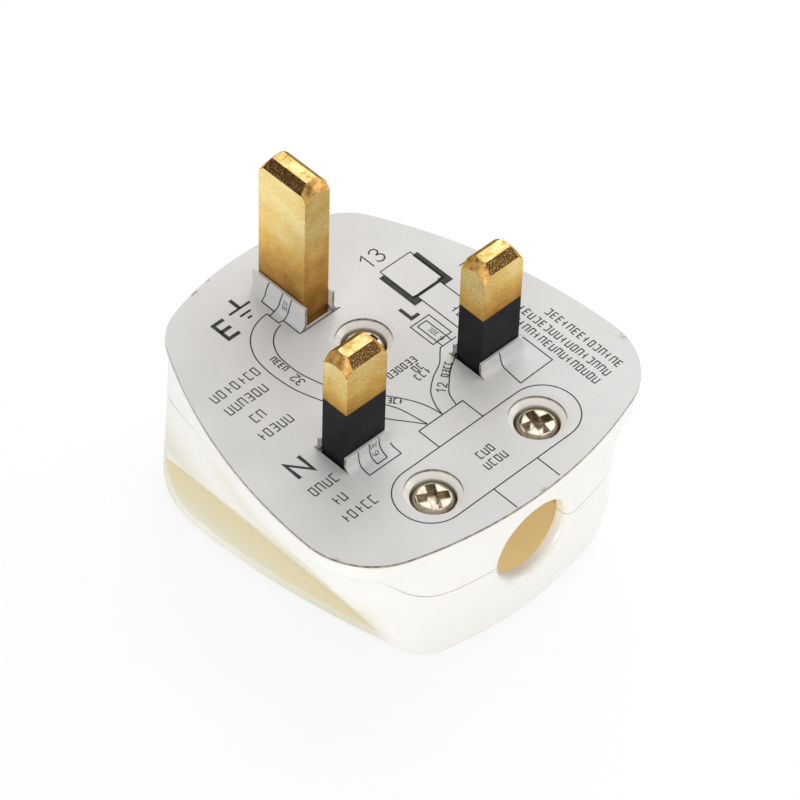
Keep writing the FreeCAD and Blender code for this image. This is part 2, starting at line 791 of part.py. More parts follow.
def line_pin_shank(body):
    """Pin that is thinner where the sleeve covers it and full size above."""
    neck = body_sketch(body, body.Name + "_neck", "XY_Plane", PLATE_UNDER)
    less = cell("sleeve_wall") * 2
    pad(body, rectangle(neck, cell("line_pin_width") - less, cell("pin_thick") - less), SLEEVE_TOP - PLATE_UNDER)
    shank = body_sketch(body, body.Name + "_shank", "XY_Plane", SLEEVE_TOP)
    top = FACE + cell("line_pin_reach")
    pad(body, rectangle(shank, cell("line_pin_width"), cell("pin_thick")), top - SLEEVE_TOP)
    bevel_tip(body, cell("line_pin_width"), cell("line_tip_width"), top, True)


def build_neutral_pin():
    """Brass neutral pin with its terminal block."""
    body = new_body("neutral_pin")
    level = PLATE_UNDER - cell("block_height")
    block = body_sketch(body, "neutral_block", "XY_Plane", level)
    pad(body, rectangle(block, cell("block_width"), cell("block_length"), 0, cell("block_shift")), cell("block_height"))
    line_pin_shank(body)
    wire_and_clamp_holes(body, 0, cell("block_shift"), level, cell("block_length"))
    bind(body, "Placement.Base.x", LINE_X)
    bind(body, "Placement.Base.y", PIN_ROW)
    return body


def build_live_pin():
    """Brass live pin whose flat head carries a fuse clip in place of a terminal."""
    body = new_body("live_pin")
    head = body_sketch(body, "live_head", "XY_Plane", PLATE_UNDER - cell("contact_plate"))
    pad(body, rectangle(head, cell("live_head"), cell("live_head")), cell("contact_plate"))
    line_pin_shank(body)
    bind(body, "Placement.Base.x", -LINE_X)
    bind(body, "Placement.Base.y", PIN_ROW)
    return body


def build_sleeve(name, x):
    """Black insulating sleeve, flush with the pin above it."""
    height = SLEEVE_TOP - PLATE_UNDER
    less = cell("sleeve_wall") * 2
    outer = box(name + "_outer", (cell("line_pin_width"), cell("pin_thick"), height), (x, PIN_ROW, PLATE_UNDER))
    inner = box(name + "_inner", (cell("line_pin_width") - less, cell("pin_thick") - less, height),
                (x, PIN_ROW, PLATE_UNDER))
    return cut(name, outer, [inner])


# Screws and nut


def build_clamp_screw(name, x, y):
    """Slotted clamp screw of a terminal, with its head towards the cover."""
    body = new_body(name)
    head = cell("clamp_head") / 2
    shank = cell("clamp_shank") / 2
    low = -cell("clamp_head_height")
    line = body_sketch(body, name + "_line", "XZ_Plane")
    polygon(line, [(0, low), (head, low, cell("clamp_head_height") / 4), (head, 0), (shank, 0),
                   (shank, cell("clamp_length")), (0, cell("clamp_length"))])
    turned(body, line, "Revolution")
    slot = body_sketch(body, name + "_slot", "XY_Plane", low)
    pocket(body, rectangle(slot, cell("clamp_slot"), cell("clamp_head") * 2), cell("clamp_head_height") / 2, True)
    place(body, (x, y, PLATE_UNDER - cell("block_height")))
    return body


def build_terminal_screws():
    """The three alike clamp screws of the terminals."""
    shift = cell("block_shift")
    return group("terminal_screws", [build_clamp_screw("earth_clamp", 0, EARTH_ROW + shift),
                                     build_clamp_screw("neutral_clamp", LINE_X, PIN_ROW + shift),
                                     build_clamp_screw("live_clamp", LOAD_X, LOAD_Y)])


def build_face_screw(name, spot, shank_size, end):
    """Pan-head screw with a cross recess, put in from the face, down to end above the back."""
    body = new_body(name)
    head = cell("screw_head") / 2
    shank = as_size(shank_size) / 2
    line = body_sketch(body, name + "_line", "XZ_Plane")
    low = end - SEAT
    polygon(line, [(0, low), (shank, low, shank / 3), (shank, 0), (head, 0),
                   (head, cell("screw_head_height"), cell("screw_head_round")), (0, cell("screw_head_height"))])
    turned(body, line, "Revolution")
    for word, width, depth in (("slot", cell("cross_width"), cell("cross_length")),
                               ("bar", cell("cross_length"), cell("cross_width"))):
        recess = body_sketch(body, "%s_cross_%s" % (name, word), "XY_Plane", cell("screw_head_height"))
        pocket(body, rectangle(recess, width, depth), cell("cross_depth"))
    place(body, (spot[0], spot[1], SEAT))
    return body


def build_grip_screws():
    """The two alike screws of the cord grip."""
    sizes = (cell("grip_screw_shank"), cell("grip_screw_end"))
    return group("cord_grip_screws", [build_face_screw("grip_screw_left", GRIP_LEFT, *sizes),
                                      build_face_screw("grip_screw_right", GRIP_RIGHT, *sizes)])


def build_nut():
    """Square nut, held in its slot in the cover's pillar."""
    blank = box("nut_blank", (cell("nut_size"), cell("nut_size"), cell("nut_height")), COVER_SCREW + (cell("nut_level"),))
    hole = rod("nut_hole", cell("cover_screw_shank"), cell("nut_height") * 3,
               COVER_SCREW + (cell("nut_level") - cell("nut_height"),))
    return cut("cover_screw_nut", blank, [hole])


def build_grip_bar():
    """Bar that the two grip screws pull up against the cord."""
    length = cell("grip_span") + cell("bar_overhang") * 2
    top = FACE - cell("grip_boss_drop")
    low = top - cell("bar_height")
    y = PIN_ROW + cell("grip_y")
    body = new_body("cord_grip_bar")
    line = body_sketch(body, "bar_line", "XY_Plane", low)
    west, east = cell("grip_x") - length / 2, cell("grip_x") + length / 2
    half = cell("bar_width") / 2
    radius = cell("bar_width") / 4
    polygon(line, [(west, y - half, radius), (east, y - half, radius), (east, y + half, radius),
                   (west, y + half, radius)])
    pad(body, line, cell("bar_height"))
    holes = body_sketch(body, "bar_holes", "XY_Plane", top)
    for spot in (GRIP_LEFT, GRIP_RIGHT):
        circle(holes, cell("grip_screw_shank"), spot[0], spot[1])
    pocket(body, holes, cell("bar_height") * 2)
    return body


# Fuse and its contacts


def build_clip(name, y):
    """Spring clip: a split ring round a fuse cap, with a flat seat on its plate."""
    bore = cell("fuse_width") + cell("clip_clear") * 2
    outer = bore + cell("clip_strip") * 2
    x = cell("fuse_x")
    ring = lying_rod(name + "_ring", outer, cell("clip_length"), (x, y, FUSE_LEVEL))
    seat = box(name + "_seat", (cell("clip_seat"), cell("clip_length"), cell("clip_strip")),
               (x, y, PLATE_UNDER - cell("contact_plate") - cell("clip_strip")))
    hollow = lying_rod(name + "_bore", bore, cell("clip_length") * 2, (x, y, FUSE_LEVEL))
    mouth = box(name + "_mouth", (cell("clip_gap"), cell("clip_length") * 2, outer), (x, y, FUSE_LEVEL - outer))
    return cut(name, join(name + "_blank", [ring, seat]), [hollow, mouth])


def cap_middle(side):
    return FUSE_Y + (cell("fuse_length") - cell("cap_length")) / 2 * side


def build_cap(name, side):
    """Plated cap on one end of the fuse."""
    x = cell("fuse_x")
    shell = lying_rod(name + "_shell", cell("fuse_width"), cell("cap_length"), (x, cap_middle(side), FUSE_LEVEL))
    tube = cell("fuse_width") - cell("cap_wall") * 2
    hollow = lying_rod(name + "_hollow", tube, cell("cap_length"),
                       (x, cap_middle(side) - cell("cap_wall") * side, FUSE_LEVEL))
    return cut(name, shell, [hollow])


def build_fuse_tube():
    """Ceramic barrel of the fuse."""
    at = (cell("fuse_x"), FUSE_Y, FUSE_LEVEL)
    length = cell("fuse_length") - cell("cap_wall") * 2
    tube = lying_rod("fuse_tube_outer", cell("fuse_width") - cell("cap_wall") * 2, length, at)
    return cut("fuse_barrel", tube, [lying_rod("fuse_tube_bore", cell("tube_bore"), length * 2, at)])


def build_fuse_wire():
    """Element inside the barrel, from cap to cap."""
    at = (cell("fuse_x"), FUSE_Y, FUSE_LEVEL)
    return lying_rod("fuse_wire", cell("fuse_wire"), cell("fuse_length") - cell("cap_wall") * 2, at)


def build_load_terminal():
    """Brass plate over the far end of the fuse, with the block that clamps the live wire."""
    body = new_body("live_terminal")
    plate_low = PLATE_UNDER - cell("contact_plate")
    block_low = PLATE_UNDER - cell("block_height")
    plate = body_sketch(body, "load_plate", "XY_Plane", plate_low)
    plate_x = cell("fuse_x") - cell("clip_seat") + cell("load_plate_width") / 2
    pad(body, rectangle(plate, cell("load_plate_width"), cell("load_plate_length"), plate_x, cap_middle(1)),
        cell("contact_plate"))
    block = body_sketch(body, "load_block", "XY_Plane", block_low)
    pad(body, rectangle(block, cell("load_block_width"), cell("load_block_length"), LOAD_X, LOAD_Y),
        cell("block_height"))
    wire_and_clamp_holes(body, LOAD_X, LOAD_Y, block_low, cell("load_block_length"))
    return body


def check_states():
    for thing in doc.Objects:
        bad = [word for word in thing.State if word in ("Invalid", "Error")]
        if bad:
            raise RuntimeError("%s is %s" % (thing.Name, bad))


def write_parts(pieces):
    os.makedirs("parts", exist_ok=True)
    for piece in pieces:
        piece.Label = piece.Name
        shape = piece.Shape
        if shape.isNull() or not shape.isValid():
            raise RuntimeError(piece.Name + " has no valid shape")
        print("%-24s solids %d volume %9.2f" % (piece.Label, len(shape.Solids), shape.Volume))
    for piece in pieces:
        piece.Shape.exportStep("parts/%s.step" % piece.Label)


def main():
    housing = housing_block()
    room = side_walls("room", cell("floor"), cell("wall"))
    pieces = [
        build_base(housing, room),
        build_cover(housing, room),
        build_card(),
        build_earth_pin(),
        build_neutral_pin(),
        build_live_pin(),
        build_sleeve("neutral_pin_sleeve", LINE_X),
        build_sleeve("live_pin_sleeve", -LINE_X),
        build_terminal_screws(),
        build_face_screw("cover_screw", COVER_SCREW, cell("cover_screw_shank"), cell("cover_screw_end")),
        build_grip_screws(),
        build_nut(),
        build_grip_bar(),
        build_clip("fuse_clip_pin_end", cap_middle(-1)),
        build_clip("fuse_clip_load_end", cap_middle(1)),
        build_cap("fuse_cap_pin_end", -1),
        build_cap("fuse_cap_load_end", 1),
        build_fuse_tube(),
        build_fuse_wire(),
        build_load_terminal(),
    ]
    doc.recompute()
    check_states()
    write_parts(pieces)


main()
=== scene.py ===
import math
import random

import bmesh
import bpy
from mathutils import Matrix, Vector


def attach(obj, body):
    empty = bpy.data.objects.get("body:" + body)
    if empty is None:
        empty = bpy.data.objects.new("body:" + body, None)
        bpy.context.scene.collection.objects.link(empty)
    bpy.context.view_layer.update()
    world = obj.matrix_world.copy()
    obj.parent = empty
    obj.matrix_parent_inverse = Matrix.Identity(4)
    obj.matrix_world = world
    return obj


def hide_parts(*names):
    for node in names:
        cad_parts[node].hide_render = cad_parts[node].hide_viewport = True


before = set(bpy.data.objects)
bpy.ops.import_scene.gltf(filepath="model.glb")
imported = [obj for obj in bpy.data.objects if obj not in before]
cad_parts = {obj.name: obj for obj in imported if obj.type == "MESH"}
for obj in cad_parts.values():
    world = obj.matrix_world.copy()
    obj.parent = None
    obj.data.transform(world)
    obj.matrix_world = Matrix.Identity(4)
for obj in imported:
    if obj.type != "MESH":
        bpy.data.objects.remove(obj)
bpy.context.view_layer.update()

# Measures of the solids, in millimetres. A place on the face is given from the middle of the line pins.
MM = 0.001
BODY_DEPTH = 21.4
CARD_TOP = BODY_DEPTH + 0.35
PIN_ROW = -6.15
FACE_SCREWS = ((1.68, 11.55), (-9.2, -11.58), (8.0, -11.58))
FLAP_FACE = 2.43
FLAP_BEND = 0.9

# Height of the print over the paper, and how far each cord grip screw is turned in the photograph (degrees).
INK_LIFT = 0.012
GRIP_SCREW_TURNS = (59, 76)

# Brown wear at the card's rim: place and radius.
EDGE_MARKS = (((25.2, -9.3), 0.9), ((-8.2, 31.3), 0.9), ((-5.5, 31.8), 0.6), ((-24.9, -11.5), 0.8),
              ((0.4, -20.3), 0.8))

# The housing's painted shade on the grips' walls, on their ledges and in the screw recesses, and its painted glow
# within, fade over these spans, from where each is absent to where it is full (mm).
GRIP_FRONT, GRIP_BACK = (-20.5, -16.5), (22, 19)
GRIP_WALL_HEIGHT, GRIP_WALL_OUTER, GRIP_WALL_INNER = (12.5, 4.5), (22.5, 18.8), (16.5, 17.6)
LEDGE_TILT, LEDGE_HEIGHT, LEDGE_SIDE = (0.05, 0.4), (8, 5), (22.0, 18.3)
RECESS_REACH, RECESS_HEIGHT = (4.5, 4.2), (21.7, 19.3)
ROOM_SIDE, ROOM_FLOOR, ROOM_CEILING = (13.4, 12.6), (1.9, 2.3), (18.5, 18.2)
ROOM_FRONT, ROOM_BACK = (-23.9, -23.3), (21.5, 20.5)
MOUTH_SIDE, MOUTH_FLOOR, MOUTH_CEILING = (5.9, 5.6), (6.4, 7.0), (18.6, 18.0)
MOUTH_FRONT, MOUTH_BACK = (-24.4, -23.6), (-20.0, -21.0)
GLOW_FRONT = (-24.3, -23.4)

# Painted shade and reflection on the brass: darker below the first height and lighter above the second (mm).
LINE_PIN_PAINTED_SHADE = (27, 37)
EARTH_PIN_PAINTED_SHADE = (23, 38)
SMALL_PIECE_PAINTED_SHADE = (BODY_DEPTH, BODY_DEPTH + 1)

# Lamps: name, place and size in metres, power in watts. They all face the middle of the plug.
LAMPS = (("key", (0.20, 0.12, 0.24), 0.42, 0.80),
         ("left_fill", (-0.64, -0.30, 0.18), 0.4, 2.4),
         ("right_fill", (0.50, -0.42, 0.16), 0.4, 1.3))
LAMP_TARGET = (0, 0, 0.02)

# World light: strength at and below the lower direction and at and above the upper one.
WORLD_LOW, WORLD_HIGH = 0.40, 0.78
WORLD_DIM, WORLD_BRIGHT = 0.35, 0.70
FLOOR_GLOW = 0.82

# Camera, measured from the pins in the photograph: angles in degrees, lens in mm for a 36 mm sensor, distance in m.
CAMERA_TURN, CAMERA_RISE, CAMERA_ROLL = -45.57, 47.45, 2.09
CAMERA_LENS = 189.33
CAMERA_DISTANCE = 0.5
CAMERA_TARGET = (-1.77, 1.73 + PIN_ROW, BODY_DEPTH)


# Shader helpers


def new_material(name):
    """A material with a bare Principled shader."""
    material = bpy.data.materials.new(name)
    material.use_nodes = True
    tree = material.node_tree
    tree.nodes.clear()
    out = tree.nodes.new("ShaderNodeOutputMaterial")
    shader = tree.nodes.new("ShaderNodeBsdfPrincipled")
    tree.links.new(shader.outputs[0], out.inputs[0])
    return material, tree, shader


def place_coordinates(tree, scale=(1, 1, 1)):
    """Object coordinates in millimetres, stretched by scale."""
    coordinates = tree.nodes.new("ShaderNodeTexCoord")
    mapping = tree.nodes.new("ShaderNodeMapping")
    mapping.inputs["Scale"].default_value = [1000 * s for s in scale]
    tree.links.new(coordinates.outputs["Object"], mapping.inputs["Vector"])
    return mapping.outputs["Vector"]


def noise(tree, vector, scale, detail=4.0, roughness=0.55):
    """Cloudy value between 0 and 1: a larger scale is finer."""
    node = tree.nodes.new("ShaderNodeTexNoise")
    node.inputs["Scale"].default_value = scale
    node.inputs["Detail"].default_value = detail
    node.inputs["Roughness"].default_value = roughness
    tree.links.new(vector, node.inputs["Vector"])
    return node.outputs["Fac"]


def ramp(tree, value, stops):
    """Colour that runs through the stops as the value rises."""
    node = tree.nodes.new("ShaderNodeValToRGB")
    elements = node.color_ramp.elements
    while len(elements) < len(stops):
        elements.new(0.5)
    for element, (position, colour) in zip(elements, stops):
        element.position = position
        element.color = (*colour, 1)
    tree.links.new(value, node.inputs["Fac"])
    return node.outputs["Color"]


def grey(value):
    return (value, value, value)


def mix(tree, factor, first, second, blend="MIX"):
    """Blend of two colours, each given as a socket or a value."""
    node = tree.nodes.new("ShaderNodeMix")
    node.data_type = "RGBA"
    node.blend_type = blend
    sockets = [s for s in node.inputs if s.type == "RGBA"]
    for socket, value in zip(sockets, (first, second)):
        if isinstance(value, bpy.types.NodeSocket):
            tree.links.new(value, socket)
        else:
            socket.default_value = (*value, 1)
    if isinstance(factor, bpy.types.NodeSocket):
        tree.links.new(factor, node.inputs[0])
    else:
        node.inputs[0].default_value = factor
    return [s for s in node.outputs if s.type == "RGBA"][0]


def bump(tree, shader, height, distance, strength, normal=None):
    """Relief in the shader's normal: height is a socket, distance is in metres."""
    node = tree.nodes.new("ShaderNodeBump")
    node.inputs["Distance"].default_value = distance
    node.inputs["Strength"].default_value = strength
    tree.links.new(height, node.inputs["Height"])
    if normal is not None:
        tree.links.new(normal, node.inputs["Normal"])
    tree.links.new(node.outputs[0], shader.inputs["Normal"])


def soft_edge(tree, radius):
    """Normal that rounds sharp edges by a radius in metres."""
    node = tree.nodes.new("ShaderNodeBevel")
    node.samples = 6
    node.inputs["Radius"].default_value = radius
    return node.outputs[0]


def math_node(tree, operation, first, second=None):
    """Result of one sum on sockets or plain numbers."""
    node = tree.nodes.new("ShaderNodeMath")
    node.operation = operation
    for socket, value in zip(node.inputs, (first, second)):
        if isinstance(value, bpy.types.NodeSocket):
            tree.links.new(value, socket)
        elif value is not None:
            socket.default_value = value
    return node.outputs[0]


def fade(tree, value, start, end):
    """Smooth change from 0 at start to 1 at end."""
    node = tree.nodes.new("ShaderNodeMapRange")
    node.interpolation_type = "SMOOTHSTEP"
    rising = start < end
    node.inputs["From Min"].default_value, node.inputs["From Max"].default_value = sorted((start, end))
    node.inputs["To Min"].default_value, node.inputs["To Max"].default_value = (0, 1) if rising else (1, 0)
    tree.links.new(value, node.inputs["Value"])
    return node.outputs[0]


def product(tree, values):
    """All the values multiplied together."""
    result = values[0]
    for value in values[1:]:
        result = math_node(tree, "MULTIPLY", result, value)
    return result


def zone(tree, *spans):
    """Where every value is in its span: each span is a value with the start and end of its fade."""
    return product(tree, [fade(tree, value, *ends) for value, ends in spans])


def split_axes(tree, vector):
    """The X, Y and Z sockets of a vector."""
    node = tree.nodes.new("ShaderNodeSeparateXYZ")
    tree.links.new(vector, node.inputs[0])
    return node.outputs


def distance(tree, vector, place):
    """Distance of a vector from a fixed place."""
    node = tree.nodes.new("ShaderNodeVectorMath")
    node.operation = "DISTANCE"
    node.inputs[1].default_value = place
    tree.links.new(vector, node.inputs[0])
    return node.outputs["Value"]


# Materials


def housing_plastic():
    """Warm white thermoset, with painted warm shade on the grips' walls and ledges, painted brown shade round the
    screws and a painted glow within.
    """
    material, tree, shader = new_material("housing_plastic")
    where = place_coordinates(tree)
    x, y, z = split_axes(tree, where)
    geometry = tree.nodes.new("ShaderNodeNewGeometry")
    tilt = split_axes(tree, geometry.outputs["Normal"])["Z"]
    side = math_node(tree, "ABSOLUTE", x)
    tone = ramp(tree, noise(tree, where, 0.05, 3), [(0.3, (0.885, 0.868, 0.825)), (0.7, (0.905, 0.89, 0.855))])

    # Painted warm shade on the finger grips' walls, fuller towards the ledge below them.
    along = zone(tree, (y, GRIP_FRONT), (y, GRIP_BACK))
    grip_wall_shade = product(tree, [along, zone(tree, (z, GRIP_WALL_HEIGHT), (side, GRIP_WALL_OUTER),
                                      (side, GRIP_WALL_INNER))])
    tone = mix(tree, grip_wall_shade, tone, (0.70, 0.68, 0.50))
    # Painted tan shade on the grips' ledges, which face up under the overhang.
    ledge_shade = product(tree, [along, zone(tree, (tilt, LEDGE_TILT), (z, LEDGE_HEIGHT), (side, LEDGE_SIDE))])
    ledge_shade_tone = ramp(tree, ledge_shade, [(0.03, (0.87, 0.865, 0.78)), (0.30, (0.84, 0.80, 0.63)),
                               (0.78, (0.85, 0.755, 0.53))])
    tone = mix(tree, fade(tree, ledge_shade, 0.0, 0.12), tone, ledge_shade_tone)

    # Painted brown shade down in the recesses round the screws.
    level = place_coordinates(tree, (1, 1, 0))
    for spot in FACE_SCREWS:
        away = distance(tree, level, (spot[0], spot[1] + PIN_ROW, 0))
        recess_shade = zone(tree, (away, RECESS_REACH), (z, RECESS_HEIGHT))
        tone = mix(tree, recess_shade, tone, (0.60, 0.52, 0.40))

    # Painted glow within the housing and its cord entry: a warmer colour and a faint emission stand in for light
    # through the walls.
    room_glow = zone(tree, (side, ROOM_SIDE), (z, ROOM_FLOOR), (z, ROOM_CEILING), (y, ROOM_FRONT), (y, ROOM_BACK))
    mouth_glow = zone(tree, (side, MOUTH_SIDE), (z, MOUTH_FLOOR), (z, MOUTH_CEILING), (y, MOUTH_FRONT),
                 (y, MOUTH_BACK))
    inside_glow = math_node(tree, "MAXIMUM", room_glow, mouth_glow)
    tree.links.new(mix(tree, inside_glow, tone, (0.80, 0.66, 0.40)), shader.inputs["Base Color"])
    shader.inputs["Emission Color"].default_value = (0.40, 0.31, 0.155, 1)
    tree.links.new(product(tree, [inside_glow, fade(tree, y, *GLOW_FRONT)]), shader.inputs["Emission Strength"])

    grain = noise(tree, where, 0.9, 3, 0.5)
    tree.links.new(ramp(tree, grain, [(0.3, grey(0.20)), (0.7, grey(0.27))]), shader.inputs["Roughness"])
    shader.inputs["IOR"].default_value = 1.5
    bump(tree, shader, noise(tree, where, 0.25, 2), 0.00001, 0.1)
    return material


def ring_height(tree, spot, low, high):
    """Rises from 0 to 1 between two distances from a place on the card."""
    away = distance(tree, place_coordinates(tree), (spot[0], spot[1] + PIN_ROW, CARD_TOP))
    return fade(tree, away, low, high)


def card_paper():
    """Pale grey card with a faint mottle, a waxy face and a brown cut edge."""
    material, tree, shader = new_material("card_paper")
    where = place_coordinates(tree)
    tone = ramp(tree, noise(tree, where, 0.09, 4), [(0.25, (0.575, 0.569, 0.563)), (0.75, (0.630, 0.626, 0.619))])
    speck = ramp(tree, noise(tree, where, 3.2, 2), [(0.60, grey(1.0)), (0.85, grey(0.9))])
    tone = mix(tree, 1.0, tone, speck, "MULTIPLY")

    geometry = tree.nodes.new("ShaderNodeNewGeometry")
    lean = split_axes(tree, geometry.outputs["True Normal"])
    x, y, z = split_axes(tree, where)
    below_face, above_face = (CARD_TOP + 0.04, CARD_TOP + 0.03), (CARD_TOP + 0.03, CARD_TOP + 0.04)
    rim = zone(tree, (lean["Z"], (0.2, 0.1)), (z, below_face))
    line_flap_ends, earth_flap_ends = (
        zone(tree, (math_node(tree, "ABSOLUTE", lean[axis]), (0.6, 0.8)), (y, span), (z, above_face))
        for axis, span in (("X", (4, 3)), ("Y", (6, 7))))
    cut_edge = math_node(tree, "MAXIMUM", rim, math_node(tree, "MAXIMUM", line_flap_ends, earth_flap_ends))
    stock = ramp(tree, noise(tree, where, 1.3, 4), [(0.35, (0.10, 0.075, 0.05)), (0.6, (0.34, 0.30, 0.24))])
    for spot, size in EDGE_MARKS:
        mark = product(tree, [math_node(tree, "SUBTRACT", 1, ring_height(tree, spot, size * 0.3, size)),
                              fade(tree, noise(tree, where, 3.5, 4), 0.42, 0.56)])
        tone = mix(tree, mark, tone, (0.33, 0.25, 0.16))
    tree.links.new(mix(tree, cut_edge, tone, stock), shader.inputs["Base Color"])

    shader.inputs["Roughness"].default_value = 0.42
    height = math_node(tree, "MULTIPLY", noise(tree, where, 1.1, 5), 0.12)
    for spot in FACE_SCREWS:
        height = math_node(tree, "ADD", height, ring_height(tree, spot, 3.5, 4.3))
    bump(tree, shader, height, 0.00012, 0.5)
    return material


def brass(name, painted_shade_heights=SMALL_PIECE_PAINTED_SHADE, rough_side=None):
    """Bare brass with fine pits, darker towards its foot and lighter towards its top as painted shade and reflection,
    and darker on faces that face ±Y as painted shade. The tip's bevels that face rough_side are left rough.
    """
    material, tree, shader = new_material(name)
    where = place_coordinates(tree)
    height = split_axes(tree, where)["Z"]
    geometry = tree.nodes.new("ShaderNodeNewGeometry")
    axes = split_axes(tree, geometry.outputs["True Normal"])
    # Painted shade and reflection: darker towards the foot and lighter towards the top, with randomly polished
    # patches over it.
    polish_and_painted_shade = math_node(tree, "ADD", fade(tree, height, *painted_shade_heights),
                       math_node(tree, "MULTIPLY", noise(tree, where, 0.30, 5, 0.6), 1.1))
    # Painted shade: faces that face ±Y are made darker.
    painted_side_shade = math_node(tree, "MULTIPLY", fade(tree, math_node(tree, "ABSOLUTE", axes["Y"]), 0.8, 0.95), 0.22)
    polish_and_painted_shade = math_node(tree, "SUBTRACT", polish_and_painted_shade, painted_side_shade)
    tone = ramp(tree, math_node(tree, "MULTIPLY", polish_and_painted_shade, 0.5),
                [(0.12, (0.30, 0.14, 0.04)), (0.33, (0.57, 0.305, 0.095)), (0.55, (0.90, 0.585, 0.19)),
                 (0.84, (1.0, 0.88, 0.46))])
    crown = ramp(tree, noise(tree, where, 0.8, 4, 0.6), [(0.38, (0.42, 0.27, 0.08)), (0.62, (0.74, 0.56, 0.26))])
    tone = mix(tree, fade(tree, axes["Z"], 0.9, 0.97), tone, crown)
    pits = ramp(tree, noise(tree, where, 3.4, 6, 0.7), [(0.33, grey(0.45)), (0.46, grey(1.0))])
    tone = mix(tree, 0.4, tone, pits, "MULTIPLY")
    shader.inputs["Metallic"].default_value = 1.0
    shader.inputs["Specular Tint"].default_value = (1.0, 0.80, 0.42, 1)
    rough = ramp(tree, noise(tree, where, 2.6, 5, 0.65), [(0.3, grey(0.16)), (0.7, grey(0.30))])
    if rough_side:
        sloping = zone(tree, (axes["Z"], (0.15, 0.3)), (axes["Z"], (0.93, 0.86)))
        smooth_side = {"X": "Y", "Y": "X"}[rough_side]
        facing = fade(tree, math_node(tree, "ABSOLUTE", axes[smooth_side]), 0.3, 0.5)
        stained = product(tree, [facing, sloping])
        stain = ramp(tree, noise(tree, where, 0.9, 4, 0.6), [(0.35, (0.26, 0.12, 0.035)), (0.62, (0.78, 0.47, 0.15))])
        tone = mix(tree, stained, tone, stain)
        rough = mix(tree, stained, rough, grey(0.36))
        facing = fade(tree, math_node(tree, "ABSOLUTE", axes[rough_side]), 0.45, 0.6)
        pitted = product(tree, [facing, sloping])
        spots = ramp(tree, noise(tree, where, 6.5, 5, 0.75),
                     [(0.46, (0.075, 0.035, 0.010)), (0.55, (0.20, 0.10, 0.03)), (0.66, (0.80, 0.58, 0.28))])
        tone = mix(tree, pitted, tone, spots)
        rough = mix(tree, pitted, rough, grey(0.42))
    tree.links.new(tone, shader.inputs["Base Color"])
    tree.links.new(rough, shader.inputs["Roughness"])
    bump(tree, shader, noise(tree, where, 4.0, 5, 0.7), 0.00011, 0.7, soft_edge(tree, 0.00018))
    return material


def nickel():
    """Bright nickel plate with a warm cast and light scuffs."""
    material, tree, shader = new_material("nickel_plate")
    where = place_coordinates(tree)
    tone = ramp(tree, noise(tree, where, 0.8, 5), [(0.3, (0.32, 0.26, 0.19)), (0.7, (0.60, 0.54, 0.45))])
    tree.links.new(tone, shader.inputs["Base Color"])
    shader.inputs["Metallic"].default_value = 1.0
    tree.links.new(ramp(tree, noise(tree, where, 2.5, 6, 0.7), [(0.3, grey(0.12)), (0.7, grey(0.28))]),
                   shader.inputs["Roughness"])
    bump(tree, shader, noise(tree, where, 2.2, 5), 0.00002, 0.5, soft_edge(tree, 0.0003))
    return material


def black_sleeve():
    """Black moulded nylon, faintly mottled."""
    material, tree, shader = new_material("black_sleeve")
    where = place_coordinates(tree)
    tone = ramp(tree, noise(tree, where, 0.6, 4), [(0.3, (0.005, 0.0045, 0.006)), (0.7, (0.011, 0.010, 0.013))])
    tree.links.new(tone, shader.inputs["Base Color"])
    tree.links.new(ramp(tree, noise(tree, where, 1.5, 5), [(0.3, grey(0.30)), (0.7, grey(0.44))]),
                   shader.inputs["Roughness"])
    shader.inputs["Specular IOR Level"].default_value = 0.1
    bump(tree, shader, noise(tree, where, 1.2, 5), 0.00002, 0.4, soft_edge(tree, 0.0001))
    return material


def plain_piece(name, low, high, rough, metallic=0.0):
    """Finish for the inner pieces: two close tones and a fine grain."""
    material, tree, shader = new_material(name)
    where = place_coordinates(tree)
    tree.links.new(ramp(tree, noise(tree, where, 0.7, 4), [(0.3, low), (0.7, high)]), shader.inputs["Base Color"])
    shader.inputs["Metallic"].default_value = metallic
    shader.inputs["Roughness"].default_value = rough
    bump(tree, shader, noise(tree, where, 2.0, 4), 0.00002, 0.4)
    return material


def ink():
    """Dark grey print, uneven in strength."""
    material, tree, shader = new_material("print_ink")
    where = place_coordinates(tree)
    tree.links.new(ramp(tree, noise(tree, where, 1.8, 4), [(0.3, grey(0.012)), (0.75, grey(0.045))]),
                   shader.inputs["Base Color"])
    shader.inputs["Roughness"].default_value = 0.5
    shader.inputs["Specular IOR Level"].default_value = 0.2
    return material


def set_material(thing, material):
    thing.data.materials.clear()
    thing.data.materials.append(material)


def dress_cad():
    """Every carried-over CAD node gets its own finish."""
    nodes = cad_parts
    line_brass = brass("line_pin_brass", LINE_PIN_PAINTED_SHADE, "Y")
    small_brass = brass("small_brass")
    plate = nickel()
    finishes = {
        "base_shell": housing_plastic(), "wiring_card": card_paper(),
        "earth_pin": brass("earth_pin_brass", EARTH_PIN_PAINTED_SHADE, "X"), "neutral_pin": line_brass,
        "live_pin": line_brass,
        "neutral_pin_sleeve": black_sleeve(), "terminal_screws": small_brass, "cover_screw": plate,
        "cord_grip_screws": plate, "cover_screw_nut": small_brass,
        "cord_grip_bar": plain_piece("grip_bar_fibre", (0.70, 0.66, 0.56), (0.78, 0.75, 0.66), 0.6),
        "fuse_clip_pin_end": small_brass, "fuse_clip_load_end": small_brass,
        "fuse_cap_pin_end": plate, "fuse_cap_load_end": plate,
        "fuse_barrel": plain_piece("fuse_ceramic", (0.74, 0.71, 0.64), (0.82, 0.80, 0.74), 0.5),
        "fuse_wire": plain_piece("tinned_wire", (0.55, 0.55, 0.56), (0.68, 0.68, 0.70), 0.3, 1.0),
        "live_terminal": small_brass,
    }
    finishes["cover_shell"] = finishes["base_shell"]
    finishes["live_pin_sleeve"] = finishes["neutral_pin_sleeve"]
    for name, material in finishes.items():
        set_material(nodes[name], material)


